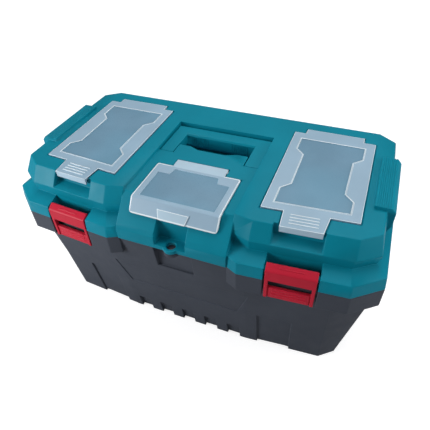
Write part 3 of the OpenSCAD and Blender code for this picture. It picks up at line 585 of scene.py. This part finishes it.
class TOOLBOX_OT_pivot_bosses(bpy.types.Operator):
    """Makes the lid's round bosses that hold the ends of the latch pins"""

    bl_idname = "toolbox.pivot_bosses"
    bl_label = "Latch pin bosses"

    def execute(self, context):
        teal = bpy.data.materials["teal_moulded"]
        radius, inner, outer = 3.4 * MM, 25.15 * MM, 26.9 * MM
        for side, name in ((1, "right"), (-1, "left")):
            turn = Matrix.Rotation(side * LATCH_TURN, 4, "Z")
            for end in (-1, 1):
                middle = Vector((end * (inner + outer) / 2, LATCH_PIVOT_Y, LATCH_PIVOT_Z))
                place = Vector((side * LATCH_X, LATCH_Y, 0)) + turn @ middle
                deselect()
                bpy.ops.mesh.primitive_cylinder_add(
                    vertices=32, radius=radius, depth=outer - inner, location=place,
                    rotation=(0, math.pi / 2, side * LATCH_TURN))
                boss = context.object
                boss.name = f"pin_boss_{name}_{'outer' if end == side else 'inner'}"
                bpy.ops.object.transform_apply(location=True, rotation=True, scale=True)
                soften(boss, 0.5 * MM, segments=2)
                give(boss, teal)
                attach(boss, "lid")
        return {"FINISHED"}


class TOOLBOX_OT_small_parts(bpy.types.Operator):
    """Makes the handle and the latches, and gives the tray and the pins their finish"""

    bl_idname = "toolbox.small_parts"
    bl_label = "Handle, latches, tray and pins"

    def execute(self, context):
        s = settings()
        red = moulded_plastic("red_moulded", s.latch_colour, rough=0.36, grain=2200,
                              grain_depth=0.01 * MM, edge_light=0.3)
        steel = drawn_steel("drawn_steel")
        teal = bpy.data.materials["teal_moulded"]
        grey = moulded_plastic("grey_moulded", s.tray_colour, rough=0.5, grain=1300,
                               grain_depth=0.04 * MM, edge_light=0.2)
        for name, body, material, width, split, slot in (
                ("handle", "handle", teal, 0.9 * MM, True, "lid_plastic"),
                ("latch_left", "latch_left", red, 0.5 * MM, False, "latch_plastic"),
                ("latch_right", "latch_right", red, 0.5 * MM, False, "latch_plastic"),
                ("tote_tray", "tray", grey, 0.8 * MM, True, "tray_plastic")):
            piece = copy_of_node(name, name + "_moulded", split)
            soften(piece, width)
            give(piece, material)
            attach(piece, body)
            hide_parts(name)
        for name in NODES:
            if "pin" in name:
                give(NODES[name], steel)
        return {"FINISHED"}


class TOOLBOX_OT_stage(bpy.types.Operator):
    """Camera, pale floor, plain lamps and world"""

    bl_idname = "toolbox.stage"
    bl_label = "Stage"

    def execute(self, context):
        scene = context.scene
        scene.view_settings.view_transform = "Standard"
        camera = bpy.data.objects.new("camera", bpy.data.cameras.new("camera"))
        scene.collection.objects.link(camera)
        camera.location = (0.16164, -0.3702, 0.47803)
        camera.rotation_euler = [math.radians(a) for a in (47.8763, 1.7219, 21.4465)]
        camera.data.lens = 34.563
        camera.data.sensor_width = 36
        camera.data.clip_start = 0.01
        camera.data.clip_end = 100
        scene.camera = camera

        deselect()
        bpy.ops.mesh.primitive_plane_add(size=12, location=(0, 0, -0.0003))
        floor = context.object
        floor.name = "floor"
        bpy.ops.object.transform_apply(location=True, rotation=True, scale=True)
        give(floor, self.glowing_floor())
        scene.world = self.sky()
        for name, place, size, power in (("key", (-0.56, -0.52, 0.32), 0.3, 3.9),
                                         ("side", (0.78, -0.08, 0.42), 0.4, 2.5),
                                         ("top", (0.0, 0.36, 1.1), 0.8, 5.6)):
            scene.collection.objects.link(self.lamp(name, place, size, power))
        return {"FINISHED"}

    @staticmethod
    def glowing_floor():
        """Floor that the camera sees bright, a little less so near the box"""
        material, tree, shader = new_material("pale_floor")
        shader.inputs["Base Color"].default_value = (0.5, 0.5, 0.51, 1)
        shader.inputs["Roughness"].default_value = 0.8
        near, far, near_glow, far_glow = 0.45, 1.6, 0.74, 1.0
        path = tree.nodes.new("ShaderNodeLightPath")
        seen = combine(tree, "MAXIMUM", path, "Is Camera Ray", path, "Is Transmission Ray")
        coords = tree.nodes.new("ShaderNodeTexCoord")
        away = tree.nodes.new("ShaderNodeVectorMath")
        away.operation = "LENGTH"
        link(tree, coords, "Object", away, 0)
        fade = map_range(tree, away, "Value", near, far, near_glow, far_glow)
        glow = combine(tree, "MULTIPLY", seen, "Value", fade, "Result")
        shader.inputs["Emission Color"].default_value = (1, 1, 1, 1)
        link(tree, glow, "Value", shader, "Emission Strength")
        return material

    @staticmethod
    def sky():
        """World that the camera sees white and that lights the box from dim below to pale above"""
        world = bpy.data.worlds.new("studio")
        world.use_nodes = True
        tree = world.node_tree
        background = tree.nodes["Background"]
        horizon, overhead, dim, bright, white = 0, 0.9, 0.03, 0.42, 1.0
        path = tree.nodes.new("ShaderNodeLightPath")
        coords = tree.nodes.new("ShaderNodeTexCoord")
        split = tree.nodes.new("ShaderNodeSeparateXYZ")
        link(tree, coords, "Generated", split, "Vector")
        light = map_range(tree, split, "Z", horizon, overhead, dim, bright)
        strength = tree.nodes.new("ShaderNodeMix")
        strength.data_type = "FLOAT"
        link(tree, light, "Result", strength, NUMBER_A)
        strength.inputs[NUMBER_B].default_value = white
        link(tree, path, "Is Camera Ray", strength, "Factor")
        link(tree, strength, "Result", background, "Strength")
        background.inputs["Color"].default_value = (1, 1, 1, 1)
        return world

    @staticmethod
    def lamp(name, place, size, power):
        """Square lamp that looks at the middle of the box and isn't seen itself"""
        light = bpy.data.lights.new(name, "AREA")
        light.size = size
        light.energy = power
        lamp = bpy.data.objects.new(name, light)
        lamp.location = place
        lamp.visible_camera = False
        aim = Vector((0, 0, 0.12)) - Vector(place)
        lamp.rotation_euler = aim.to_track_quat("-Z", "Y").to_euler()
        return lamp


class TOOLBOX_PT_panel(bpy.types.Panel):
    """The tool box's settings and steps"""

    bl_idname = "TOOLBOX_PT_panel"
    bl_label = "Tool Box"
    bl_space_type = "VIEW_3D"
    bl_region_type = "UI"
    bl_category = "Tool Box"

    def draw(self, context):
        column = self.layout.column(align=True)
        for name in ToolBoxSettings.__annotations__:
            column.prop(context.scene.tool_box, name)
        for step in STEPS:
            self.layout.operator(step.bl_idname)


STEPS = (TOOLBOX_OT_stage, TOOLBOX_OT_shells, TOOLBOX_OT_clear_lids, TOOLBOX_OT_small_parts,
         TOOLBOX_OT_pivot_bosses)
CLASSES = (ToolBoxSettings, *STEPS, TOOLBOX_PT_panel)


def register():
    for cls in CLASSES:
        bpy.utils.register_class(cls)
    bpy.types.Scene.tool_box = bpy.props.PointerProperty(type=ToolBoxSettings)


def unregister():
    del bpy.types.Scene.tool_box
    for cls in reversed(CLASSES):
        bpy.utils.unregister_class(cls)


def main():
    register()
    bpy.ops.toolbox.stage()
    bpy.ops.toolbox.shells()
    bpy.ops.toolbox.clear_lids()
    bpy.ops.toolbox.small_parts()
    bpy.ops.toolbox.pivot_bosses()


if __name__ == "__main__":
    main()
